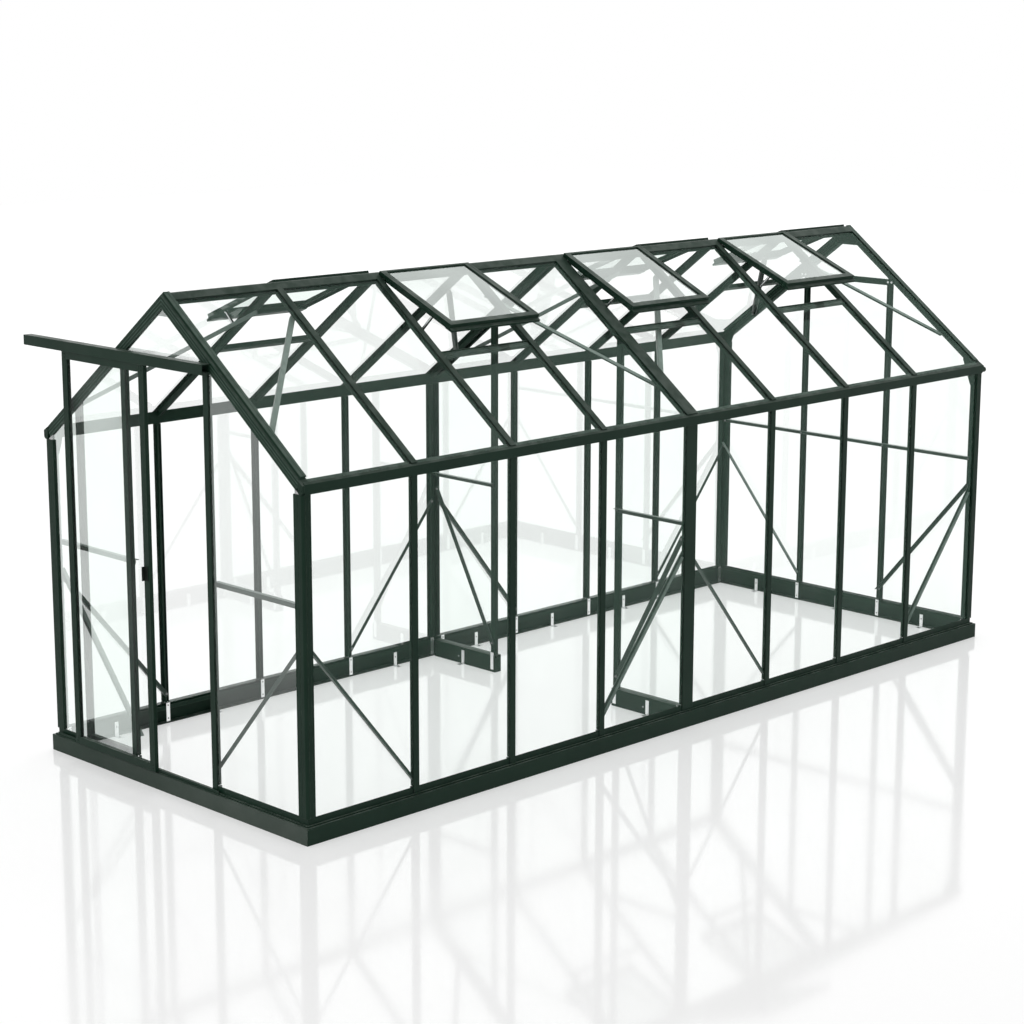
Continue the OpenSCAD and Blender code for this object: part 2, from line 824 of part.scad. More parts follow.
module roof_braces() {
    beside = bar_in + gap;
    color(frame_green) both_sides() {
        intersection() {
            union() {
                roof_brace(0, bar_y(1));
                roof_brace(length_y, length_y - bar_y(1));
            }
            translate([0, beside, 0]) cube([big, length_y - 2 * beside, big]);
        }
        roof_brace(mid_y - middle_off, bar_y(mid_bar - 1));
        roof_brace(mid_y + middle_off, bar_y(mid_bar + 1));
    }
}

// ---------------------------------------------------------------- vents

hinge_s = 14;                                // hinge line, down the slope from the peak
sash_in = 5;                                 // sash thickness below the hinge line
hinge_v = bar_out + gap + sash_in;
vent_w = bay_clear + 8;
vent_sill_s = hinge_s + vent_len - 16;
vent_stile = 36;                             // width of a stile, with the ledge for the pane
vent_edge = 12;                              // outer part of the stile, beside the pane
vent_rail = 32;                              // width of the lower rail
vent_nose = 17;                              // reach of the drip nose on the lower rail
vent_rail_a = vent_len - vent_nose - vent_rail;

// Frame of one open vent in bay n of the right-hand slope: x from hinge to lower edge
module on_vent(n, open) {
    mid = (clear_y0(n, bar_w / 2) + clear_y1(n, bar_w / 2)) / 2;
    on_slope() translate([hinge_s, mid, hinge_v]) rotate([0, -open, 0]) children();
}

module each_vent() {
    for (i = [0:len(vent_bays_right) - 1])
        on_vent(vent_bays_right[i], vent_open_right[i]) children();
    left_of() for (i = [0:len(vent_bays_left) - 1])
        on_vent(vent_bays_left[i], vent_open_left[i]) children();
}

module vent_sills() {
    color(frame_green) {
        on_slope() for (n = vent_bays_right) vent_sill(n);
        left_of() on_slope() for (n = vent_bays_left) vent_sill(n);
    }
}

// Bar across bay n under the lower edge of its vent, with an upstand between the caps
module vent_sill(n) {
    depth = 18;
    w = 28;
    t = 4;
    y0 = clear_y0(n, flange_w / 2);
    y1 = clear_y0(n, bar_w / 2);
    translate([vent_sill_s, y0, -depth]) cube([w, clear_y1(n, flange_w / 2) - y0, depth]);
    translate([vent_sill_s, y1, -eps]) cube([t, clear_y1(n, bar_w / 2) - y1, slot_t + 2]);
}

// Lower rail of a vent, x from the hinge and y outwards, with its drip nose
module vent_rail_section() {
    polygon([[vent_rail_a, sash_t - sash_in], [vent_rail_a, -17], [vent_rail_a + 8, -20],
             [vent_len, -20], [vent_len, -10], [vent_len - vent_nose, -6],
             [vent_len - vent_nose, sash_t - sash_in]]);
}

module vent_sashes() {
    color(frame_green) each_vent() difference() {
        union() {
            translate([0, -vent_w / 2, -sash_in])
                cube([vent_len - vent_nose - eps, vent_w, sash_t]);
            along_y(-vent_w / 2, vent_w / 2) vent_rail_section();
        }
        translate([vent_stile, vent_stile - vent_w / 2, -50])
            cube([vent_rail_a - vent_stile, vent_w - 2 * vent_stile, 100]);
        translate([vent_edge, vent_edge - vent_w / 2, 2])
            cube([vent_rail_a - vent_edge, vent_w - 2 * vent_edge, 100]);
        translate([vent_edge, vent_edge - vent_w / 2, 2])
            cube([vent_rail_a - vent_edge + bite, vent_w - 2 * vent_edge, slot_t]);
    }
}

module vent_panes() {
    edge = vent_edge + gap;
    color(pane_tint) each_vent() translate([edge, edge - vent_w / 2, 2 + gap])
        cube([vent_rail_a - edge + bite - gap, vent_w - 2 * edge, pane_t]);
}

// Stay at the side of a vent that is nearer to the door gable: a plate on the bar, a
// cranked arm up to the sash and a plate under the sash
module vent_openers() {
    color(dark_plastic) {
        on_slope() for (i = [0:len(vent_bays_right) - 1])
            opener(vent_bays_right[i], vent_open_right[i]);
        left_of() on_slope() for (i = [0:len(vent_bays_left) - 1])
            opener(vent_bays_left[i], vent_open_left[i]);
    }
}

module opener(n, open) {
    plate_t = (bar_w - flange_w) / 2;
    arm_w = 12;
    foot_s = vent_sill_s - 165;
    head_s = foot_s + 18;
    head_v = hinge_v + (head_s - hinge_s) * tan(open) - (sash_in + gap) / cos(open);
    y0 = clear_y0(n, flange_w / 2);
    translate([0, y0 + plate_t, 0]) rotate([90, 0, 0]) linear_extrude(plate_t)
        polygon([[foot_s - 40, -16], [foot_s + 46, -16], [foot_s + 46, -2],
                 [foot_s + 16, 3], [foot_s - 40, -2]]);
    translate([0, y0 + plate_t + 9, 0]) rotate([90, 0, 0]) linear_extrude(9 + eps)
        polygon([[foot_s, -8], [foot_s + arm_w, -8],
                 [head_s + arm_w, head_v + arm_w * tan(open)], [head_s, head_v]]);
}

// ---------------------------------------------------------------- panes

function bay_lo(i) = i == 1 ? corner_side - bite
    : bar_y(i - 1) + (i - 1 == mid_bar ? middle_off : 0) + pane_edge;
function bay_hi(i) = i == bays_long ? length_y - corner_side + bite
    : bar_y(i) - (i == mid_bar ? middle_off : 0) - pane_edge;

module panes_right() {
    color(pane_tint) for (i = [1:bays_long])
        translate([half_w + gap, bay_lo(i), pane_z0])
            cube([pane_t, bay_hi(i) - bay_lo(i), wall_pane_z1 - pane_z0]);
}

module panes_left() {
    left_of() panes_right();
}

module slope_panes(vents) {
    top = 11;
    color(pane_tint) on_slope() for (i = [1:bays_long]) {
        s0 = len([for (v = vents) if (v == i) v]) > 0 ? vent_sill_s + 6 : top;
        translate([s0, bay_lo(i), gap])
            cube([slope_s(half_w + drip_u) - s0, bay_hi(i) - bay_lo(i), pane_t]);
    }
}

module panes_roof_right() {
    slope_panes(vent_bays_right);
}

module panes_roof_left() {
    left_of() slope_panes(vent_bays_left);
}

// Gable pane from x0 to x1, its head cut along the rafters
module gable_pane(x0, x1, z0) {
    v = -rafter_d + bite;
    top0 = peak_h + v / cos_p - abs(x0) * tan_p;
    top1 = peak_h + v / cos_p - abs(x1) * tan_p;
    peak = x0 * x1 < 0 ? [[0, peak_h + v / cos_p]] : [];
    along_y(-pane_t - gap, -gap)
        polygon(concat([[x0, z0], [x0, top0]], peak, [[x1, top1], [x1, z0]]));
}

gable_side_x = half_w - corner_leg + bite;

module panes_front() {
    color(pane_tint) {
        gable_pane(-gable_side_x, door_lines[0] - pane_edge, pane_z0);
        gable_pane(door_lines[0] + pane_edge, door_lines[1] - pane_edge,
                   header_z + header_h - bite);
        gable_pane(door_lines[1] + pane_edge, gable_side_x, pane_z0);
    }
}

module panes_rear() {
    color(pane_tint) translate([0, length_y, 0]) mirror([0, 1, 0]) {
        both_sides() gable_pane(rear_x + pane_edge, gable_side_x, pane_z0);
        gable_pane(-rear_x + pane_edge, rear_x - pane_edge, pane_z0);
    }
}

module panes_partition() {
    x0 = stub_end_x + stub_post_in + pane_edge;
    x1 = half_w - max(beam_in + 2, flat_y0);
    z0 = stub_top - stub_groove + gap;
    v = -roof_in + bite;
    head = peak_h + v / cos_p;
    color(pane_tint) both_sides() along_y(part_y - pane_t - gap, part_y - gap)
        polygon([[x0, z0], [x0, head - x0 * tan_p], [x1, head - x1 * tan_p], [x1, z0]]);
}

// ---------------------------------------------------------------- sliding door

leaf_y0 = -post_out - 12 - leaf_t;           // outer face of the leaf
leaf_y1 = leaf_y0 + leaf_t;
leaf_mid = (leaf_y0 + leaf_y1) / 2;
leaf_x0 = -leaf_open - leaf_w / 2;
leaf_x1 = leaf_x0 + leaf_w;
leaf_z1 = track_z - 3;
low_rail_h = 36;
top_rail_h = 34;
track_x0 = door_lines[0] - leaf_w - 85;      // left end of the track
track_x1 = door_lines[1] + 43;
track_y0 = leaf_y0 - 12;                     // front of the track
track_y1 = -post_out - gap;                  // back of the track, on the rafters
track_t = 2.5;
runner_z = track_z + 10;                     // upper face of the runner for the wheels
runner_y0 = leaf_mid + 2;
hanger_y = leaf_mid - 7;                     // front of the hanger plates
wheel_r = 10;

// Hooded top track, open below, with a runner for the wheels
module door_track() {
    color(frame_green) translate([track_x0, 0, 0])
        rotate([90, 0, 90]) linear_extrude(track_x1 - track_x0) polygon([
            [track_y0, track_z], [track_y0, track_z + track_h], [track_y1, track_z + track_h],
            [track_y1, track_z], [track_y1 - track_t, track_z],
            [track_y1 - track_t, runner_z - track_t], [runner_y0, runner_z - track_t],
            [runner_y0, runner_z], [track_y1 - track_t, runner_z],
            [track_y1 - track_t, track_z + track_h - track_t],
            [track_y0 + track_t, track_z + track_h - track_t], [track_y0 + track_t, track_z]]);
}

// Bar between the door posts that carries the pane over the doorway
module door_header() {
    w = 2 * door_half - bar_w - 2 * gap;
    depth = bar_out + bar_in;
    inner_h = header_h - groove_d - 2 * sheet_t;
    color(frame_green) translate([door_mid - w / 2, 0, header_z]) rotate([90, 0, 90])
        linear_extrude(w) difference() {
            translate([-bar_out, 0]) square([depth, header_h]);
            translate([-slot_t, header_h - groove_d]) square([slot_t, groove_d + eps]);
            translate([sheet_t - bar_out, sheet_t]) square([depth - 2 * sheet_t, inner_h]);
        }
}

// Threshold in the doorway, with a rib along the base that keeps the leaf in line
module door_guide() {
    rib_y = leaf_y1 + 5.2;
    rib_h = leaf_z0 + 8 - base_h;
    t = 2.5;
    x0 = 8 - half_w;
    x1 = door_lines[1] + 40;
    inside_w = 2 * door_half - flange_w - 2 * gap;
    color(frame_green) translate([0, 0, base_h]) {
        translate([x0, rib_y, 0]) cube([x1 - x0, t, rib_h]);
        translate([x0, 2 - base_out, 0]) cube([x1 - x0, rib_y + base_out - 2 + eps, t]);
        translate([door_mid - inside_w / 2, rib_y, 0]) cube([inside_w, bar_in - rib_y, t]);
    }
}

module door_stiles() {
    color(frame_green) for (side = [-1, 1])
        translate([(leaf_x0 + leaf_x1 + side * (leaf_w - stile_w)) / 2, leaf_mid, leaf_z0])
            linear_extrude(leaf_z1 - leaf_z0) stile_section(side);
}

// Door stile, its pane groove on the side that faces the middle of the leaf
module stile_section(side) {
    difference() {
        square([stile_w, leaf_t], center = true);
        translate([-side * (stile_w - groove_d) / 2 - side * eps, 0])
            square([groove_d, slot_t], center = true);
        for (x = [-stile_w / 4, stile_w / 4])
            translate([x, -leaf_t / 2]) square([3, 2], center = true);
    }
}

module door_rails() {
    w = leaf_w - 2 * stile_w - 2 * gap;
    color(frame_green) {
        door_rail(w, leaf_z0, low_rail_h, leaf_z0 + low_rail_h - groove_d);
        door_rail(w, leaf_z1 - top_rail_h, top_rail_h, leaf_z1 - top_rail_h - eps);
    }
}

// Rail of the leaf from z0 up, with a pane groove that starts at groove_z
module door_rail(w, z0, h, groove_z) {
    difference() {
        translate([leaf_x0 + stile_w + gap, leaf_y0, z0]) cube([w, leaf_t, h]);
        translate([leaf_x0, leaf_mid - slot_t / 2, groove_z])
            cube([leaf_w, slot_t, groove_d + eps]);
    }
}

module door_pane() {
    z0 = leaf_z0 + low_rail_h - bite;
    z1 = leaf_z1 - top_rail_h + bite;
    color(pane_tint) translate([leaf_x0 + stile_w - bite, leaf_mid - pane_t / 2, z0])
        cube([leaf_w - 2 * (stile_w - bite), pane_t, z1 - z0]);
}

// Two hangers on the head of the leaf, each with a wheel that runs in the track
module door_hangers() {
    plate_t = 3;
    axle_z = runner_z + gap + wheel_r;
    wheel_w = 12;
    color(dark_plastic) for (x = [leaf_x0 + 70, leaf_x1 - 70]) translate([x, hanger_y, 0]) {
        translate([-22, 0, leaf_z1]) cube([44, plate_t, axle_z + 5 - leaf_z1]);
        translate([0, plate_t - eps, axle_z]) rotate([-90, 0, 0])
            cylinder(h = wheel_w, r = wheel_r, $fn = 48);
    }
}

module door_handle() {
    w = 22;
    h = 66;
    plate_t = 4;
    grip_t = 5;
    grip_d = 20;
    color(dark_plastic) translate([leaf_x1 - stile_w / 2, leaf_y0 - gap, rail_z - 12])
        rotate([90, 0, 0]) {
            translate([-w / 2, -h / 2, 0]) cube([w, h, plate_t]);
            translate([-w / 2, -h / 2, 0]) cube([grip_t, h, grip_d]);
        }
}

base_front();
base_rear();
base_left();
base_right();
base_partition();
side_sills();
gable_sills();
partition_sills();
foot_plates();
ground_anchors();
corner_posts();
middle_posts();
wall_bars_left();
wall_bars_right();
door_posts();
rear_gable_bars();
partition_posts();
eave_left();
eave_right();
eave_caps();
ridge();
ridge_gussets();
eave_gussets();
corner_cleats();
gable_rafters();
middle_rafters();
roof_bars_left();
roof_bars_right();
gable_rails();
gable_collars();
partition_rails();
wall_braces();
gable_braces();
partition_braces();
roof_braces();
vent_sills();
vent_sashes();
vent_panes();
vent_openers();
panes_left();
panes_right();
panes_roof_left();
panes_roof_right();
panes_front();
panes_rear();
panes_partition();
door_header();
door_track();
door_guide();
door_stiles();
door_rails();
door_pane();
door_hangers();
door_handle();
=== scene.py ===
"""Looks of the greenhouse: materials, small fittings, stage, lights and camera.

The frame is x across, y from the door gable to the rear gable and z up, in metres. Each
piece takes its places from the solids of the CAD nodes that it sits on.
"""

import json
import math

import bmesh
import bpy
import numpy as np
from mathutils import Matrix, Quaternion, Vector


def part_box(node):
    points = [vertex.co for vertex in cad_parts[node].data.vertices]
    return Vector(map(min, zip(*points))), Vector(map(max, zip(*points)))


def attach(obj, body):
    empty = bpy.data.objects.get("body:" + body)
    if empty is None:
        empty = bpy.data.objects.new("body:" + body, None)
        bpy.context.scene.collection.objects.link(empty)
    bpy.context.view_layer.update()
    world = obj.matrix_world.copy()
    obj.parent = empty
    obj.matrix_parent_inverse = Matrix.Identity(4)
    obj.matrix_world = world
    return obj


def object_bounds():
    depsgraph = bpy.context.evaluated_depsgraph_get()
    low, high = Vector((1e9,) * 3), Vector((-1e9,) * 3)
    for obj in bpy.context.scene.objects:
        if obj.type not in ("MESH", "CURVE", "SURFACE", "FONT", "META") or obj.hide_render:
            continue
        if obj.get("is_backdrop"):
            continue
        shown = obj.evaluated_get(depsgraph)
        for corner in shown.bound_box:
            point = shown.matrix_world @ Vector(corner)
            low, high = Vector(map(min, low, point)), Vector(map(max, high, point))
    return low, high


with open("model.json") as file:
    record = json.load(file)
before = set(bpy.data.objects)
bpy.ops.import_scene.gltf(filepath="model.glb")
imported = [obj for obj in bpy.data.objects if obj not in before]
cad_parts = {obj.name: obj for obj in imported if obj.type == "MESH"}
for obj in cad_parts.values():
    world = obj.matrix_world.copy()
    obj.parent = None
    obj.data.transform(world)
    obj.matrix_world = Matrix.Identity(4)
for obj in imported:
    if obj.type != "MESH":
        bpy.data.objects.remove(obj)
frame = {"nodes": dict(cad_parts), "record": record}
cad_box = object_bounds()
nodes = frame["nodes"]

# Slope of the roof, as in the CAD source
pitch = math.radians(37.2)
sin_p, cos_p = math.sin(pitch), math.cos(pitch)


# ---------------------------------------------------------------- materials

# Colours are linear. The coat goes from the first green to the second, with the third as grain.
GREENS = ((0.0066, 0.0250, 0.0145, 1), (0.0100, 0.0325, 0.0195, 1), (0.0135, 0.036, 0.0235, 1))
# lighter edges: wear, and a painted highlight where edges catch the light
WORN_EDGE_HIGHLIGHT = (0.075, 0.120, 0.092, 1)
# painted highlight along the rafter's ribs
RIB_HIGHLIGHT = (0.085, 0.142, 0.110, 1)
# dust, and a painted sheen of the top light, on what faces up
DUST_AND_SHEEN = (0.175, 0.210, 0.185, 1)
# paler veil, more so towards the right
PALE_VEIL = (0.17, 0.195, 0.175, 1)
BRACE_GREENS = ((0.016, 0.036, 0.025, 1), (0.026, 0.050, 0.037, 1))
# painted highlight on the braces' upper faces
BRACE_TOP_HIGHLIGHT = (0.27, 0.33, 0.30, 1)
BLACKS = ((0.004, 0.007, 0.005, 1), (0.012, 0.017, 0.014, 1))
CLEAR = (0.992, 0.998, 0.995, 1)
HAZE = (0.86, 0.88, 0.87, 1)
# painted reflection on the vent panes
REFLECTION_FILM = (0.34, 0.43, 0.37, 1)
PALE_GLOSS = (0.94, 1.0, 0.97, 1)
GREEN_GLOSS = (0.66, 1.0, 0.82, 1)
WHITE = (1, 1, 1, 1)

EDGE_RADIUS = 0.0022     # how near to an edge the coat is rounded, worn and lighter with a painted highlight
PEEL_HEIGHT = 0.0004
RIB_SPACING = 0.007
GLOSSY_IOR = 1.58        # of the panes and of the floor's paint


class Nodes:
    """Node tree of a material or world, with short ways to add and link nodes."""

    def __init__(self, owner, output="OutputMaterial"):
        owner.use_nodes = True
        self.owner = owner
        self.tree = owner.node_tree
        self.tree.nodes.clear()
        self.out = self.add(output)

    def add(self, kind, **values):
        """A new node. Each value goes to its property of that name, or else to its input."""
        node = self.tree.nodes.new("ShaderNode" + kind)
        for key, value in values.items():
            if key in node.bl_rna.properties:
                setattr(node, key, value)
            else:
                self.set(node, key.replace("_", " "), value)
        return node

    def set(self, node, key, value):
        """Links a socket or writes a plain value. "in 1" is the input of that number."""
        socket = node.inputs[key] if key in node.inputs else node.inputs[int(key[3:])]
        if isinstance(value, bpy.types.NodeSocket):
            self.tree.links.new(value, socket)
        else:
            socket.default_value = value

    def math(self, operation, a, b=0.0, clamp=False):
        node = self.add("Math", operation=operation, use_clamp=clamp)
        self.set(node, "in 0", a)
        self.set(node, "in 1", b)
        return node.outputs[0]

    def noise(self, scale, detail=2.0, stretch=(1, 1, 1), seed=(0, 0, 0)):
        place = self.add("Mapping", Scale=stretch, Location=seed,
                         Vector=self.add("TexCoord").outputs["Object"])
        return self.add("TexNoise", Scale=scale, Detail=detail, Roughness=0.55,
                        Vector=place.outputs[0]).outputs[0]

    def spread(self, value, low, high, to_low, to_high):
        """Takes value from low..high to to_low..to_high, smoothly, and holds it beyond."""
        node = self.add("MapRange", interpolation_type="SMOOTHSTEP")
        for key, number in zip(("From Min", "From Max", "To Min", "To Max"),
                               (low, high, to_low, to_high)):
            node.inputs[key].default_value = number
        self.set(node, "Value", value)
        return node.outputs[0]

    def patches(self, scale, detail, to_low, to_high, seed=(0, 0, 0)):
        """Soft patches of noise between two values."""
        return self.spread(self.noise(scale, detail, seed=seed), 0.3, 0.7, to_low, to_high)

    def blend(self, factor, a, b):
        node = self.add("MixRGB")
        self.set(node, "Fac", factor)
        self.set(node, "Color1", a)
        self.set(node, "Color2", b)
        return node.outputs[0]

    def mix(self, factor, a, b):
        """Shader a where factor is 0, and b where it is 1."""
        node = self.add("MixShader", Fac=factor)
        if a is not None:
            self.set(node, "in 1", a.outputs[0])
        self.set(node, "in 2", b.outputs[0])
        return node

    def place(self):
        """Node with the X, Y and Z of a point in the frame."""
        return self.add("SeparateXYZ", Vector=self.add("TexCoord").outputs["Object"])

    def facing_up(self):
        normal = self.add("NewGeometry").outputs["Normal"]
        return self.add("SeparateXYZ", Vector=normal).outputs["Z"]

    def finish(self, surface):
        self.tree.links.new(surface.outputs[0], self.out.inputs[0])
        return self.owner


def new_material(name):
    return Nodes(bpy.data.materials.new(name))


def coat(s, colour, rough, peel, level):
    """Painted surface with slightly rounded edges, lighter there from wear and a painted
    highlight.
    """
    round_edge = s.add("Bevel", samples=4, Radius=EDGE_RADIUS)
    dot = s.add("VectorMath", operation="DOT_PRODUCT")
    s.set(dot, "in 0", round_edge.outputs[0])
    s.set(dot, "in 1", s.add("NewGeometry").outputs["Normal"])
    edge = s.spread(dot.outputs["Value"], 0.80, 0.99, 1, 0)
    # edges lighter from wear and a painted highlight
    wear_and_highlight = s.math("MULTIPLY", edge, s.spread(s.noise(40, 4), 0.35, 0.65, 0.3, 0.75))
    colour = s.blend(wear_and_highlight, colour, WORN_EDGE_HIGHLIGHT)
    bump = s.add("Bump", Strength=peel, Distance=PEEL_HEIGHT, Height=s.noise(620, 2),
                 Normal=round_edge.outputs[0])
    shader = s.add("BsdfPrincipled", Base_Color=colour, Roughness=rough,
                   Normal=bump.outputs[0])
    shader.inputs["Specular IOR Level"].default_value = level
    return s.finish(shader)


def green_coat(name, veiled=False, ribbed=False):
    """Dark green powder coat: fine orange peel, faint mottling, dust and a painted sheen on
    what faces up.

    The coat with a veil is lighter in patches, more so towards the right. The ribbed one has
    painted highlights in lines along the roof's slope, on a rafter's ribs.
    """
    s = new_material(name)
    mottle = s.spread(s.noise(3.1, 4), 0.35, 0.68, 0, 1)
    colour = s.blend(mottle, GREENS[0], GREENS[1])
    colour = s.blend(s.patches(260, 2, 0, 0.35), colour, GREENS[2])
    if ribbed:
        place = s.place()
        across = s.math("ABSOLUTE", place.outputs["X"])
        off_slope = s.math("ADD", s.math("MULTIPLY", across, sin_p),
                           s.math("MULTIPLY", place.outputs["Z"], cos_p))
        near_rib = s.math("PINGPONG", off_slope, RIB_SPACING)
        # painted highlight in lines along the ribs
        line = s.math("MULTIPLY", s.spread(near_rib, 0.0010, 0.0030, 1, 0),
                      s.patches(30, 3, 0.45, 0.9))
        colour = s.blend(line, colour, RIB_HIGHLIGHT)
    # dust and painted sheen: lighter where the surface faces up
    dust_and_sheen = s.math("MULTIPLY", s.spread(s.facing_up(), 0.6, 0.95, 0, 0.58),
                  s.spread(s.noise(14, 5), 0.36, 0.66, 0.35, 1))
    colour = s.blend(dust_and_sheen, colour, DUST_AND_SHEEN)
    if veiled:
        # paler in patches, more so towards the right
        veil = s.math("MULTIPLY", s.spread(s.place().outputs["X"], -1.0, 0.95, 0.16, 0.44),
                      s.patches(7, 4, 0.75, 1))
        colour = s.blend(veil, colour, PALE_VEIL)
    rough = s.patches(9, 3, 0.32, 0.44, seed=(4, 2, 7))
    return coat(s, colour, rough, peel=0.12, level=0.11)


def brace_coat(name):
    """Dark green coat, with a painted highlight on the upper faces."""
    s = new_material(name)
    streak = s.noise(1.0, 3, stretch=(30, 30, 30))
    # painted highlight on what faces up
    upper = s.math("MULTIPLY", s.spread(s.facing_up(), 0.15, 0.55, 0, 0.9),
                   s.spread(streak, 0.3, 0.7, 0.75, 1))
    colour = s.blend(s.spread(streak, 0.35, 0.65, 0, 1), *BRACE_GREENS)
    colour = s.blend(upper, colour, BRACE_TOP_HIGHLIGHT)
    return coat(s, colour, s.spread(streak, 0.3, 0.7, 0.28, 0.42), peel=0.10, level=0.25)


def bare_metal(name, dark, light):
    """Mill-finish metal in patches of two greys, brushed along its height."""
    s = new_material(name)
    brush = s.noise(1.0, 3, stretch=(900, 900, 18))
    colour = s.blend(s.patches(22, 3, 0, 1), (dark, dark * 1.01, dark * 1.02, 1),
                     (light, light, light, 1))
    rough = s.spread(brush, 0.25, 0.75, 0.26, 0.46)
    lines = s.add("Bump", Strength=0.15, Distance=0.0002, Height=brush)
    return s.finish(s.add("BsdfPrincipled", Base_Color=colour, Metallic=1.0, Roughness=rough,
                          Normal=lines.outputs[0]))


def black_plastic(name):
    """Grained black nylon and rubber."""
    s = new_material(name)
    colour = s.blend(s.patches(35, 4, 0, 1), *BLACKS)
    return coat(s, colour, s.patches(60, 2, 0.45, 0.62), peel=0.25, level=0.2)


def clear_pane(name, gloss, haze=0.010, upper_gloss=None, tint=PALE_GLOSS, painted_reflection=False):
    """Clear polycarbonate: see-through, with a gloss that grows at glancing angles, a thin
    uneven haze and a few fine scratches.

    With upper_gloss, the right half of a gable has that gloss at its eaves and a third of it
    at its foot. A pane with the film has a grey-green painted reflection: even on the left
    slope, and fading away from the ridge on the right one.
    """
    s = new_material(name)
    clear = s.add("BsdfTransparent", Color=CLEAR)
    film = s.add("BsdfDiffuse", Color=REFLECTION_FILM if painted_reflection else HAZE)
    scratch = s.spread(s.noise(1.0, 3, stretch=(60, 420, 60)), 0.58, 0.75, 0.0, 0.10)
    shine = s.add("BsdfGlossy", Color=tint, Roughness=s.math("ADD", scratch, 0.03))
    film_amount = s.spread(s.noise(2.3, 5), 0.35, 0.7, 0.3 * haze, 1.6 * haze)
    # painted reflection: grey-green film, even on the left slope, fading from the ridge on the
    # right
    if painted_reflection:
        across = s.place().outputs["X"]
        left = s.spread(across, -0.02, 0.02, 0.33, 0)
        right = s.math("MULTIPLY", s.spread(across, -0.02, 0.02, 0, 1),
                       s.spread(across, 0.04, 0.30, 0.12, 0))
        film_amount = s.math("ADD", film_amount, s.math("ADD", left, right), True)
    with_film = s.mix(film_amount, clear, film)
    front = s.math("SUBTRACT", 1.0, s.add("NewGeometry").outputs["Backfacing"])
    amount = s.math("MULTIPLY", s.add("Fresnel", IOR=GLOSSY_IOR).outputs[0], front)
    gain = s.patches(0.9, 3, 0.88 * gloss, 1.12 * gloss)
    if upper_gloss:
        place = s.place()
        left = s.spread(place.outputs["X"], -0.3, 0.3, 1, 0)
        right = s.spread(place.outputs["X"], -0.3, 0.3, 0, 1)
        rise = s.spread(place.outputs["Z"], 0.0, 1.7, 0.3 * upper_gloss, upper_gloss)
        gain = s.math("ADD", s.math("MULTIPLY", left, gain), s.math("MULTIPLY", right, rise))
    coated = s.mix(s.math("MULTIPLY", amount, gain, True), with_film, shine)
    return s.finish(s.mix(s.add("LightPath").outputs["Is Shadow Ray"], coated, clear))


# Finishes by material slot, and more that single nodes and pieces take
finishes = {
    "green_frame": green_coat("green_coat"),
    "veiled_green": green_coat("veiled_coat", veiled=True),
    "brace_coat": brace_coat("brace_coat"),
    "bare_metal": bare_metal("bare_metal", 0.86, 0.95),
    "dull_metal": bare_metal("dull_metal", 0.20, 0.36),
    "cast_metal": bare_metal("cast_metal", 0.34, 0.46),
    "black_plastic": black_plastic("black_plastic"),
    "clear_pane": clear_pane("wall_pane", gloss=0.45, tint=GREEN_GLOSS),
}
own_finish = {
    "gable_rafters": green_coat("rafter_coat", ribbed=True),
    "base_front": finishes["veiled_green"],
    "corner_cleats": finishes["cast_metal"],
    "panes_left": clear_pane("left_pane", gloss=3.4),
    "panes_front": clear_pane("gable_pane", gloss=6.0, haze=0.015, upper_gloss=2.2),
    "door_pane": clear_pane("leaf_pane", gloss=0.16),
    "panes_rear": clear_pane("rear_pane", gloss=1.2),
    "panes_roof_right": clear_pane("roof_pane", gloss=0.38, tint=GREEN_GLOSS),
    "panes_roof_left": clear_pane("far_roof_pane", gloss=1.1),
    "vent_panes": clear_pane("vent_pane", gloss=3.4, haze=0.012, painted_reflection=True),
}
for name in ("wall_braces", "gable_braces", "partition_braces", "roof_braces", "gable_rails",
             "partition_rails"):
    own_finish[name] = finishes["brace_coat"]
slot_of = {part["node"]: part["material_slot"] for part in frame["record"]["subparts"]}
for name, node in nodes.items():
    node.data.materials.clear()
    node.data.materials.append(own_finish.get(name, finishes[slot_of[name]]))


# ---------------------------------------------------------------- shapes

SAME_LEVEL = 1e-4        # points nearer than this lie on one face


def solids(name):
    """Point sets of the separate solids in a CAD node."""
    mesh = nodes[name].data
    points = np.empty(len(mesh.vertices) * 3)
    mesh.vertices.foreach_get("co", points)
    points, index = np.unique(points.reshape(-1, 3).round(5), axis=0, return_inverse=True)
    edges = np.empty(len(mesh.edges) * 2, dtype=np.int32)
    mesh.edges.foreach_get("vertices", edges)
    edges = index.ravel()[edges].reshape(-1, 2)
    # each point takes the lowest number along its edges, until nothing changes
    group = np.arange(len(points))
    settled = False
    while not settled:
        lowest = np.minimum(group[edges[:, 0]], group[edges[:, 1]])
        new = group.copy()
        np.minimum.at(new, edges[:, 0], lowest)
        np.minimum.at(new, edges[:, 1], lowest)
        settled = (new == group).all()
        group = new
    return [points[group == number] for number in np.unique(group)]


def corners(points):
    """Lowest and highest corner of a point set."""
    return points.min(axis=0), points.max(axis=0)


def levels(values):
    """The different values in a set, to a tenth of a millimetre."""
    return np.unique(values.round(4))


def flange_face(values):
    """Free face of an angle bar's flange: the middle one of the bar's three levels."""
    return levels(values)[1]


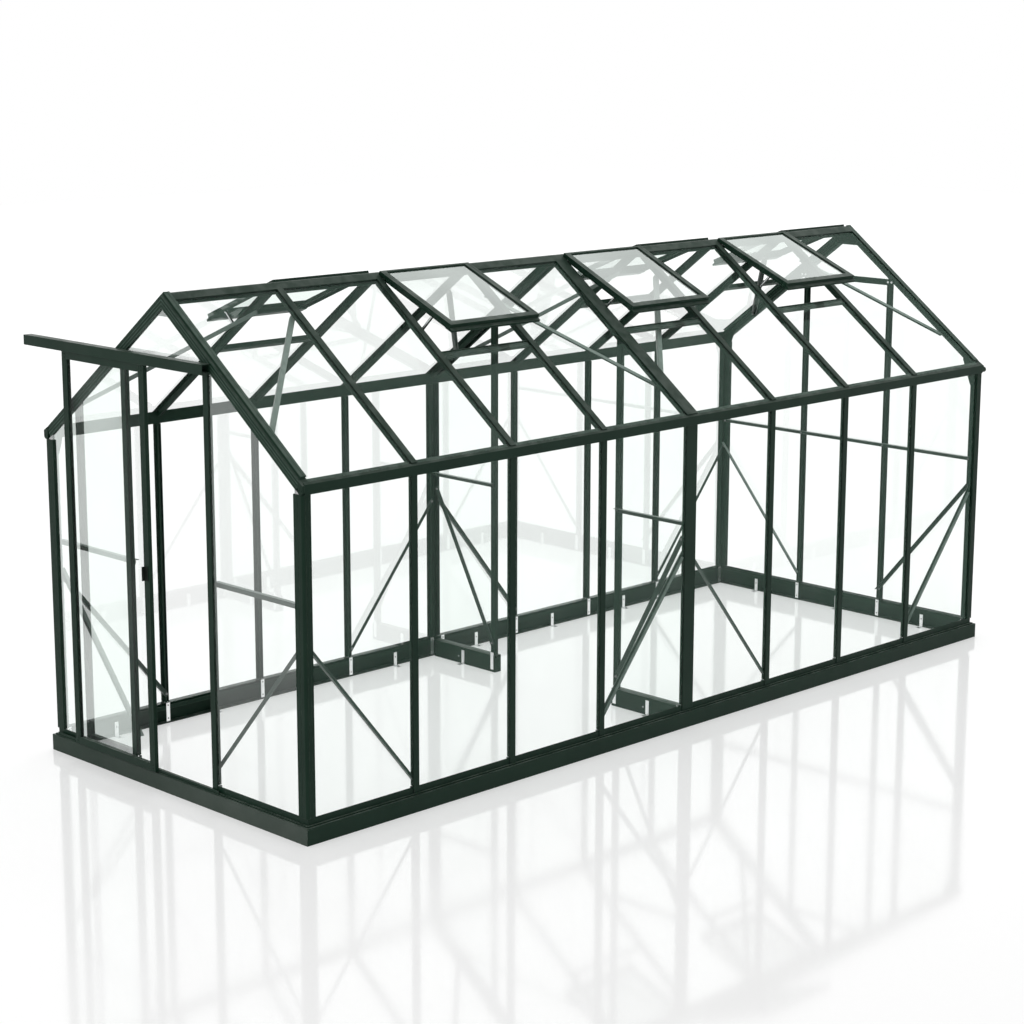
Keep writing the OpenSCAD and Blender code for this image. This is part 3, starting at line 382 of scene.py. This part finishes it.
def turned(profile, at, axis, sides=14):
    """Closed shape turned about an axis: profile holds (radius, height) pairs."""
    axis = Vector(axis).normalized()
    u = axis.orthogonal().normalized()
    v = axis.cross(u)
    points, faces = [], []
    for radius, height in profile:
        for k in range(sides):
            turn = 2 * math.pi * (k + 0.5) / sides
            points.append(Vector(at) + axis * height
                          + (u * math.cos(turn) + v * math.sin(turn)) * radius)
    for ring in range(len(profile) - 1):
        for k in range(sides):
            nxt = (k + 1) % sides
            faces.append([ring * sides + k, ring * sides + nxt,
                          (ring + 1) * sides + nxt, (ring + 1) * sides + k])
    faces.append(list(range(sides))[::-1])
    faces.append([(len(profile) - 1) * sides + k for k in range(sides)])
    return points, faces


def prism(section, start, end, across, up):
    """A section of (across, up) pairs drawn out from start to end."""
    across, up = Vector(across), Vector(up)
    count = len(section)
    points = [Vector(at) + across * a + up * b for at in (start, end) for a, b in section]
    faces = [[k, (k + 1) % count, count + (k + 1) % count, count + k] for k in range(count)]
    faces.append(list(range(count))[::-1])
    faces.append([count + k for k in range(count)])
    return points, faces


def strip(start, end, across, up, wide, thick):
    """Strip of rectangular section with rounded edges; wide and thick are (from, to)."""
    (a0, a1), (b0, b1) = wide, thick
    r = min(a1 - a0, b1 - b0) * 0.25
    section = [(a0 + r, b0), (a1 - r, b0), (a1, b0 + r), (a1, b1 - r), (a1 - r, b1),
               (a0 + r, b1), (a0, b1 - r), (a0, b0 + r)]
    return prism(section, start, end, across, up)


def nut_and_washer(at, axis, size=1.0):
    """Washer, six-sided nut and the end of its bolt, as (radius, height) profiles."""
    def scaled(profile):
        return [(size * radius, size * height) for radius, height in profile]
    washer = scaled([(0.0068, 0), (0.0068, 0.0009), (0.0062, 0.0013), (0.004, 0.0013)])
    nut = scaled([(0.0049, 0.0012), (0.0052, 0.0018), (0.0052, 0.0046), (0.0045, 0.0053)])
    end = scaled([(0.0026, 0.005), (0.0026, 0.0074), (0.0021, 0.0080)])
    return [turned(washer, at, axis), turned(nut, at, axis, 6), turned(end, at, axis, 10)]


def screw(at, axis, size=1.0):
    """Domed screw head with a socket."""
    profile = [(0.0044, 0), (0.0044, 0.0008), (0.0038, 0.0021), (0.0026, 0.0029),
               (0.0018, 0.0030), (0.0015, 0.0016)]
    return [turned([(size * r, size * h) for r, h in profile], at, axis, 12)]


def make(name, shapes, slot, body="frame", finish=None):
    """One piece from many closed shapes."""
    mesh = bpy.data.meshes.new(name)
    points, faces = [], []
    for shape_points, shape_faces in shapes:
        base = len(points)
        points += [tuple(p) for p in shape_points]
        faces += [[base + k for k in face] for face in shape_faces]
    mesh.from_pydata(points, [], faces)
    shell = bmesh.new()
    shell.from_mesh(mesh)
    bmesh.ops.recalc_face_normals(shell, faces=shell.faces)
    shell.to_mesh(mesh)
    shell.free()
    piece = bpy.data.objects.new(name, mesh)
    bpy.context.scene.collection.objects.link(piece)
    piece.data.materials.append(finishes[finish or slot])
    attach(piece, body)
    return piece


# ---------------------------------------------------------------- places in the frame

base_low, base_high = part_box("base_right")
middle_y = (base_low[1] + base_high[1]) / 2


def from_gable(y):
    """Unit vector into the greenhouse from the gable that y is near."""
    return (0, 1 if y < middle_y else -1, 0)


def side_of(points):
    """1 for a solid of the right side or slope, -1 for one of the left."""
    return math.copysign(1, points[0, 0])


def inner_face(points):
    """y of the face of a flat plate at a gable that is turned to the greenhouse."""
    low, high = corners(points)
    return high[1] if from_gable(low[1])[1] > 0 else low[1]


def strip_ends(plan, inset):
    """Middle points near the two ends of a strip, from its outline in its own plane."""
    middle = plan.mean(axis=0)
    along = np.linalg.svd(plan - middle)[2][0]
    cross = np.array([-along[1], along[0]])
    t, w = (plan - middle) @ along, (plan - middle) @ cross
    centre = middle + cross * (w.min() + w.max()) / 2
    return [centre + along * (t.min() + inset), centre + along * (t.max() - inset)]


def slope_points(points):
    """Points as (down the slope, along y, out from the slope) on either slope."""
    side = abs(points[:, 0])
    return np.stack([side * cos_p - points[:, 2] * sin_p, points[:, 1],
                     side * sin_p + points[:, 2] * cos_p], axis=1)


def from_slope(side, s, y, v):
    """The point of the frame that slope_points turns into (s, y, v)."""
    return (side * (s * cos_p + v * sin_p), y, v * cos_p - s * sin_p)


def out_of_slope(side):
    return (side * sin_p, 0, cos_p)


# ---------------------------------------------------------------- bolts and screws

BRACE_INSET = 0.013      # bolt of a brace from the brace's end
PARTITION_INSET = 0.014
RAIL_END = 0.012         # bolt at a rail's own end
RAIL_END_LEAST = 0.008   # bolt at a post that stands by a rail's end
RAIL_BOLT_GAP = 0.02     # least gap between bolts, and how far past its end a rail has posts
RIDGE_BOLTS = (0.03, 0.068)     # from the middle of the gable
RIDGE_BOLT_DROP = 0.016         # below the upper edge of the gusset
PLATE_T = 0.0025         # thickness of foot plates and ground anchors
PLATE_TOP, PLATE_FOOT = 0.012, 0.016            # a foot plate's screws from its two ends
SIDE_X = 0.85            # plates further from the middle than this belong to a side wall
BASE_SCREW_Z, GROUND_SCREW_Z = 0.052, 0.003     # heights of an anchor's two screws
ANCHOR_TOE = 0.013       # an anchor's screw in the ground from the anchor's inner end
CAP_INSET, CAP_RISE = 0.009, 0.019              # a cap's screws from its sides and lower edge
REAR_CAP_T = 0.0127      # a rear end cap's thickness, where its outlet doesn't stand out


def brace_bolts():
    """A nut and washer at each end of each diagonal brace."""
    found = []
    for pts in solids("wall_braces"):
        side = side_of(pts)
        level = abs(pts[:, 0]).min()
        face = pts[abs(pts[:, 0]) < level + SAME_LEVEL][:, 1:]
        for y, z in strip_ends(face, BRACE_INSET):
            found += nut_and_washer((side * level, y, z), (-side, 0, 0))
    for pts in solids("gable_braces"):
        level = flange_face(pts[:, 1])
        face = pts[abs(pts[:, 1] - level) < SAME_LEVEL][:, [0, 2]]
        for x, z in strip_ends(face, BRACE_INSET):
            found += nut_and_washer((x, level, z), from_gable(level))
    for pts in solids("partition_braces"):
        level = pts[:, 1].min()
        face = pts[abs(pts[:, 1] - level) < SAME_LEVEL][:, [0, 2]]
        for x, z in strip_ends(face, PARTITION_INSET):
            found += nut_and_washer((x, level, z), (0, -1, 0))
    for pts in solids("roof_braces"):
        side = side_of(pts)
        flat = slope_points(pts)
        level = flange_face(flat[:, 2])
        face = flat[abs(flat[:, 2] - level) < 2 * SAME_LEVEL][:, :2]
        for s, y in strip_ends(face, BRACE_INSET):
            found += nut_and_washer(from_slope(side, s, y, level),
                                    (-side * sin_p, 0, -cos_p))
    return found


def rail_bolts(name):
    """A nut and washer where a rail or collar crosses a post, and at its ends.

    On the partition rails they are turned as at the door gable, and point into the posts.
    """
    found = []
    posts = [pts.mean(axis=0) for node in ("door_posts", "rear_gable_bars", "partition_posts")
             for pts in solids(node)]
    for pts in solids(name):
        low, high = corners(pts)
        z = (low[2] + high[2]) / 2
        if name == "gable_collars":
            level = inner_face(pts)
        else:
            level = flange_face(pts[:, 1])
            z -= 0.001
        spots = {round(min(max(post[0], low[0] + RAIL_END_LEAST), high[0] - RAIL_END_LEAST), 3)
                 for post in posts if abs(post[1] - low[1]) < 0.2
                 and low[0] - RAIL_BOLT_GAP < post[0] < high[0] + RAIL_BOLT_GAP}
        ends = (low[0] + RAIL_END, high[0] - RAIL_END)
        spots |= {round(x, 3) for x in ends
                  if min(abs(x - spot) for spot in spots) > RAIL_BOLT_GAP}
        for x in spots:
            found += nut_and_washer((x, level, z), from_gable(low[1]))
    return found


def gusset_bolts():
    """Four nuts on each gusset of the gables."""
    found = []
    for pts in solids("ridge_gussets"):
        low, high = corners(pts)
        for x in RIDGE_BOLTS:
            for side in (-1, 1):
                z = high[2] - x * math.tan(pitch) - RIDGE_BOLT_DROP
                found += nut_and_washer((side * x, inner_face(pts), z), from_gable(low[1]))
    for pts in solids("eave_gussets"):
        low, high = corners(pts)
        side = math.copysign(1, low[0])
        outer = max(abs(low[0]), abs(high[0]))
        # two on the corner post, and two along the rafter
        for x, z in ((outer - 0.011, low[2] + 0.016), (outer - 0.011, low[2] + 0.05),
                     (outer - 0.03, high[2] - 0.05), (outer - 0.06, high[2] - 0.028)):
            found += nut_and_washer((side * x, inner_face(pts), z), from_gable(low[1]))
    return found


def plate_screws():
    """Two screws on each foot plate, and one on each leg of each ground anchor."""
    found = []
    for name in ("foot_plates", "ground_anchors"):
        for pts in solids(name):
            low, high = corners(pts)
            x, y = (low[0] + high[0]) / 2, (low[1] + high[1]) / 2
            axis = 0 if abs(x) > SIDE_X else 1
            towards = (-math.copysign(1, x), 0, 0) if axis == 0 else from_gable(y)
            way = towards[axis]
            on_base, on_ground = [x, y, BASE_SCREW_Z], [x, y, GROUND_SCREW_Z]
            if name == "foot_plates":
                on_base[axis] += PLATE_T / 2 * way
                for z in (high[2] - PLATE_TOP, low[2] + PLATE_FOOT):
                    found += screw((on_base[0], on_base[1], z), towards)
                continue
            inner, outer = (high, low) if way > 0 else (low, high)
            on_base[axis] = outer[axis] + PLATE_T * way
            on_ground[axis] = inner[axis] - ANCHOR_TOE * way
            found += screw(on_base, towards)
            found += screw(on_ground, (0, 0, 1), 1.3)
    return found


def cap_screws():
    """Two screws on each end cap of the eaves beams."""
    found = []
    for pts in solids("eave_caps"):
        low, high = corners(pts)
        front = low[1] < 0
        level = low[1] if front else low[1] + REAR_CAP_T
        for x in (low[0] + CAP_INSET, high[0] - CAP_INSET):
            found += screw((x, level, low[2] + CAP_RISE), (0, -1 if front else 1, 0), 0.8)
    return found


make("brace_nuts", brace_bolts() + rail_bolts("gable_rails") + rail_bolts("partition_rails"),
     "bare_metal", finish="dull_metal")
make("gable_nuts", rail_bolts("gable_collars"), "bare_metal")
make("gusset_nuts", gusset_bolts(), "green_frame")
make("plate_screws", plate_screws(), "bare_metal", finish="cast_metal")
make("cap_screws", cap_screws(), "green_frame")


# ---------------------------------------------------------------- seals and painted shade

SEAL_WIDE = (-0.0020, 0.0013)       # across the edge of a cap
SEAL_THICK = (-0.0065, -0.0037)     # below the outer face of the cap


def bar_seals_and_shade():
    """Rubber between each pane and its cap, at both cap edges; its black also paints the
    recess's shade.
    """
    found = []

    def seal(start, end, across, up):
        found.append(strip(start, end, across, up, SEAL_WIDE, SEAL_THICK))

    for name in ("wall_bars_left", "wall_bars_right", "middle_posts"):
        for pts in solids(name):
            side = side_of(pts)
            level = abs(pts[:, 0]).max()
            low, high = corners(pts[abs(pts[:, 0]) > level - SAME_LEVEL])
            for y, way in ((low[1], -1), (high[1], 1)):
                seal((side * level, y, low[2]), (side * level, y, high[2]),
                     (0, way, 0), (side, 0, 0))
    for name in ("door_posts", "rear_gable_bars"):
        for pts in solids(name):
            way_out = -from_gable(pts[0, 1])[1]
            level = pts[:, 1].min() if way_out < 0 else pts[:, 1].max()
            cap = pts[abs(pts[:, 1] - level) < SAME_LEVEL]
            for x, way in ((cap[:, 0].min(), -1), (cap[:, 0].max(), 1)):
                top = cap[abs(cap[:, 0] - x) < 1e-3][:, 2].max() - 0.002
                seal((x, level, cap[:, 2].min()), (x, level, top), (way, 0, 0), (0, way_out, 0))
    for name in ("roof_bars_left", "roof_bars_right"):
        for pts in solids(name):
            side = side_of(pts)
            flat = slope_points(pts)
            level = flat[:, 2].max()
            low, high = corners(flat[flat[:, 2] > level - SAME_LEVEL])
            for y, way in ((low[1], -1), (high[1], 1)):
                seal(from_slope(side, low[0], y, level), from_slope(side, high[0], y, level),
                     (0, way, 0), out_of_slope(side))
    return found


make("bar_seals_and_shade", bar_seals_and_shade(), "black_plastic")


# ---------------------------------------------------------------- vents

BEAD_GAP = 0.0002        # between a bead and the pane or sash beside it
END_GAP = 0.0004         # between a bead and the sash at its ends
LIP_GAP = 0.0006         # between a side lip and the sash over it
LIP_DEPTH, LIP_T = 0.012, 0.0012
LIP_START = 0.045        # where a side lip begins, down the slope from the hinge
SEAL_START = 0.024       # where the seal of a bead begins
SEAL_W = 0.0016
SEAL_RISE = (-0.0001, 0.0024)       # from the pane's bed
STAY_T = 0.003           # thickness of a stay's foot plate
ARM_S, ARM_LEAN = 0.046, 0.018      # middle line of a stay's arm, and how far it leans
ARM_FOOT = 0.008         # where the arm begins, out from the lower edge of the plate
BRIGHT_T, BRIGHT_HALF_W = 0.0015, 0.0032        # the bright plate on the arm
CLIP_WIDE = (-0.009, -0.004)


def vent_planes():
    """Each vent's pane centre, its normal, its direction down the slope and its sash."""
    sashes = solids("vent_sashes")
    for pts in solids("vent_panes"):
        centre = pts.mean(axis=0)
        normal = np.linalg.svd(pts - centre)[2][2]
        normal = normal * math.copysign(1, normal[2])
        down = np.cross((0, 1, 0), normal)
        down = down * math.copysign(1, down[0] * centre[0])
        sash = min(sashes, key=lambda other: np.linalg.norm(other.mean(axis=0) - centre))
        yield centre, normal, down, sash - centre


def vent_trims():
    """Beads that hold a vent's pane down in its sash, and the lips down its sides."""
    beads, seals = [], []
    for centre, normal, down, sash in vent_planes():
        s_at, y_at, v_at = levels(sash @ down), levels(sash[:, 1]), levels(sash @ normal)
        top, bed = v_at[-1], v_at[-2]
        under = -top - LIP_GAP
        hinge, foot = s_at[1] + END_GAP, s_at[-4] - END_GAP
        for way, pocket, inner, outer in ((-1, y_at[1], y_at[2], y_at[0]),
                                          (1, y_at[-2], y_at[-3], y_at[-1])):
            across = (0, -way, 0)
            wide = abs(inner - pocket)
            side = centre + np.array((0, pocket, 0))
            beads.append(strip(side + down * hinge, side + down * foot, across, normal,
                               (BEAD_GAP, wide), (bed + BEAD_GAP, top)))
            seals.append(strip(side + down * (hinge + SEAL_START), side + down * foot, across,
                               normal, (wide, wide + SEAL_W),
                               (bed + SEAL_RISE[0], bed + SEAL_RISE[1])))
            edge = centre + np.array((0, outer, 0))
            beads.append(strip(edge + down * (hinge + LIP_START), edge + down * foot, across,
                               normal, (0.0, LIP_T), (under - LIP_DEPTH, under)))
    return beads, seals


def stay_fittings():
    """Pins, screws and a clip at each vent stay, and a bright plate on its arm above the cap.

    Places are given down the slope from the stay's upper end and out from its lowest level.
    """
    found = []
    cap_level = slope_points(solids("roof_bars_right")[0])[:, 2].max()
    for pts in solids("vent_openers"):
        side = side_of(pts)
        flat = slope_points(pts)
        s0, y0, v0 = flat.min(axis=0)
        y1, arm_high = flat[:, 1].max(), flat[:, 2].max()
        arm_low = v0 + ARM_FOOT
        plate_y = y0 + STAY_T
        out = out_of_slope(side)
        down = (side * cos_p, 0, -sin_p)

        def at(s_value, y_value, v_value):
            return from_slope(side, s0 + s_value, y_value, v_value)

        def on_arm(v_value, y_value):
            share = (v_value - arm_low) / (arm_high - arm_low)
            return at(ARM_S + ARM_LEAN * share, y_value, v_value)

        # pins at both ends of the arm, and the screws of the stay's foot plate
        found += nut_and_washer(at(ARM_S, y1, v0 + 0.014), (0, 1, 0), 0.9)
        found += nut_and_washer(at(ARM_S + ARM_LEAN, y1, arm_high - 0.012), (0, 1, 0), 0.9)
        for s_value in (0.008, 0.078):
            found += screw(at(s_value, plate_y, v0 + 0.006), (0, 1, 0), 0.9)
        # the bright plate and its nut
        found.append(strip(on_arm(cap_level + 0.004, plate_y),
                           on_arm(arm_high - 0.010, plate_y),
                           (0, -1, 0), down, (0, BRIGHT_T), (-BRIGHT_HALF_W, BRIGHT_HALF_W)))
        found += nut_and_washer(on_arm(arm_high - 0.016, plate_y - BRIGHT_T), (0, -1, 0), 0.7)
        # the clip: a bar and the peg that it ends in
        found.append(strip(at(0.054, y1, v0 + 0.016), at(0.100, y1, v0 + 0.010),
                           (0, 1, 0), out, CLIP_WIDE, (0, 0.006)))
        found.append(strip(at(0.098, y1, v0 + 0.006), at(0.098, y1, v0 + 0.026),
                           (0, 1, 0), down, CLIP_WIDE, (0, 0.005)))
    return found


beads, bead_seals = vent_trims()
make("vent_trims", beads, "green_frame")
make("vent_seals", bead_seals, "black_plastic")
make("stay_fittings", stay_fittings(), "bare_metal")


# ---------------------------------------------------------------- door

BRUSH_FOOT, BRUSH_TOP = 0.105, 1.965
BRUSH_SHIFT = 0.011      # of each brush strip from the middle of its stile
BRUSH_HALF_W, BRUSH_DEPTH = 0.0015, 0.005
RUBBER_WIDE, RUBBER_THICK = (0, 0.0025), (0.0002, 0.003)
STILE_SCREWS = ((0.012, 0.028), (0.026, 0.010))     # from a stile's foot, and from its top
HANDLE_INSET = 0.014


def leaf_strips():
    """Rubber along the leaf's pane and the brush strips behind its two stiles."""
    found = []
    rails = solids("door_rails")
    pane_low, pane_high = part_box("door_pane")
    z0 = min(pts[:, 2].max() for pts in rails)
    z1 = max(pts[:, 2].min() for pts in rails)
    for pts in solids("door_stiles"):
        low, high = corners(pts)
        way = 1 if low[0] < pane_low[0] else -1
        x = high[0] if way > 0 else low[0]
        for y, out in ((pane_low[1], -1), (pane_high[1], 1)):
            found.append(strip((x, y, z0), (x, y, z1), (way, 0, 0), (0, out, 0),
                               RUBBER_WIDE, RUBBER_THICK))
        for shift in (-BRUSH_SHIFT, BRUSH_SHIFT):
            brush_x = (low[0] + high[0]) / 2 + shift
            found.append(strip((brush_x, high[1], BRUSH_FOOT), (brush_x, high[1], BRUSH_TOP),
                               (1, 0, 0), (0, 1, 0), (-BRUSH_HALF_W, BRUSH_HALF_W),
                               (0, BRUSH_DEPTH)))
    return found


def leaf_screws():
    """Screws at the corners of the leaf, and those that hold the handle on the inside."""
    found = []
    for pts in solids("door_stiles"):
        low, high = corners(pts)
        x = (low[0] + high[0]) / 2
        at_foot, at_top = STILE_SCREWS
        for z in [low[2] + rise for rise in at_foot] + [high[2] - drop for drop in at_top]:
            found += screw((x, low[1], z), (0, -1, 0), 0.7)
    low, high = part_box("door_handle")
    for z in (low[2] + HANDLE_INSET, high[2] - HANDLE_INSET):
        found += screw(((low[0] + high[0]) / 2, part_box("door_stiles")[1][1], z), (0, 1, 0))
    return found


make("leaf_strips", leaf_strips(), "black_plastic", "door")
make("leaf_screws", leaf_screws(), "green_frame", "door")


# ---------------------------------------------------------------- stage

FLOOR_GREY = (0.7, 0.7, 0.7, 1)
FLOOR_CORNERS = [(-30, -30, 0), (30, -30, 0), (30, 35, 0), (-30, 35, 0)]
FLOOR_GLOW = 0.42        # what the floor adds for the camera and in reflections
WORLD_LIGHT = 0.6        # strength of the surroundings as a light


def make_floor():
    """Glossy pale floor: white to the camera, and still darker where the object shades it."""
    mesh = bpy.data.meshes.new("floor")
    mesh.from_pydata(FLOOR_CORNERS, [], [[0, 1, 2, 3]])
    floor = bpy.data.objects.new("floor", mesh)
    bpy.context.scene.collection.objects.link(floor)
    s = new_material("floor_paint")
    rough = s.patches(0.8, 3, 0.05, 0.09)
    paint = s.add("BsdfPrincipled", Base_Color=FLOOR_GREY, Roughness=rough, IOR=GLOSSY_IOR)
    glow = s.add("Emission", Color=WHITE, Strength=FLOOR_GLOW)
    path = s.add("LightPath")
    seen = s.math("ADD", path.outputs["Is Camera Ray"], path.outputs["Is Glossy Ray"], True)
    only_seen = s.mix(seen, None, glow)
    both = s.add("AddShader")
    s.set(both, "in 0", paint.outputs[0])
    s.set(both, "in 1", only_seen.outputs[0])
    floor.data.materials.append(s.finish(both))
    floor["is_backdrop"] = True


def make_world():
    """Plain white surroundings, dimmer as a light than as a background."""
    world = bpy.data.worlds.new("studio")
    bpy.context.scene.world = world
    s = Nodes(world, "OutputWorld")
    path = s.add("LightPath")
    seen = s.math("MAXIMUM", path.outputs["Is Camera Ray"], path.outputs["Is Glossy Ray"])
    seen = s.math("MAXIMUM", seen, path.outputs["Is Transmission Ray"])
    light = s.add("Background", Color=WHITE, Strength=WORLD_LIGHT)
    white = s.add("Background", Color=WHITE, Strength=1.0)
    s.finish(s.mix(seen, light, white))


def make_lamp(name, at, aim, size, watts):
    """Square soft lamp at a point, aimed at another, that reflections don't show."""
    data = bpy.data.lights.new(name, "AREA")
    data.size, data.energy = size, watts
    lamp = bpy.data.objects.new(name, data)
    lamp.visible_glossy = False
    bpy.context.scene.collection.objects.link(lamp)
    lamp.location = at
    lamp.rotation_mode = "QUATERNION"
    lamp.rotation_quaternion = (Vector(aim) - Vector(at)).to_track_quat("-Z", "Y")


make_floor()
make_world()
make_lamp("softbox_top", at=(-1.5, middle_y + 1.5, 7.5), aim=(0, middle_y, 1), size=4.0,
          watts=110)
make_lamp("softbox_front", at=(0.5, -8.0, 3.5), aim=(0, 0, 1.2), size=4.0, watts=90)


# ---------------------------------------------------------------- camera

BAY = 0.62               # one bay of the long wall; the camera's place is given in bays
CAMERA_BAYS = (13.5285, -9.9327, 5.6483)
AZIMUTH, TILT, ROLL = math.radians(45.21), math.radians(-11.92), math.radians(0.106)
LENS, SENSOR = 82.29, 36


def make_camera():
    """Camera at the photograph's viewing angle."""
    data = bpy.data.cameras.new("camera")
    camera = bpy.data.objects.new("camera", data)
    bpy.context.scene.collection.objects.link(camera)
    data.lens = LENS
    data.sensor_width = SENSOR
    data.clip_end = 200
    camera.location = [BAY * bays for bays in CAMERA_BAYS]
    look = Vector((-math.sin(AZIMUTH) * math.cos(TILT), math.cos(AZIMUTH) * math.cos(TILT),
                   math.sin(TILT)))
    camera.rotation_mode = "QUATERNION"
    camera.rotation_quaternion = look.to_track_quat("-Z", "Y") @ Quaternion((0, 0, 1), ROLL)
    bpy.context.scene.camera = camera


make_camera()
bpy.context.scene.view_settings.view_transform = "Standard"

[[list(corner) for corner in box] for box in (cad_box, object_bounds())]
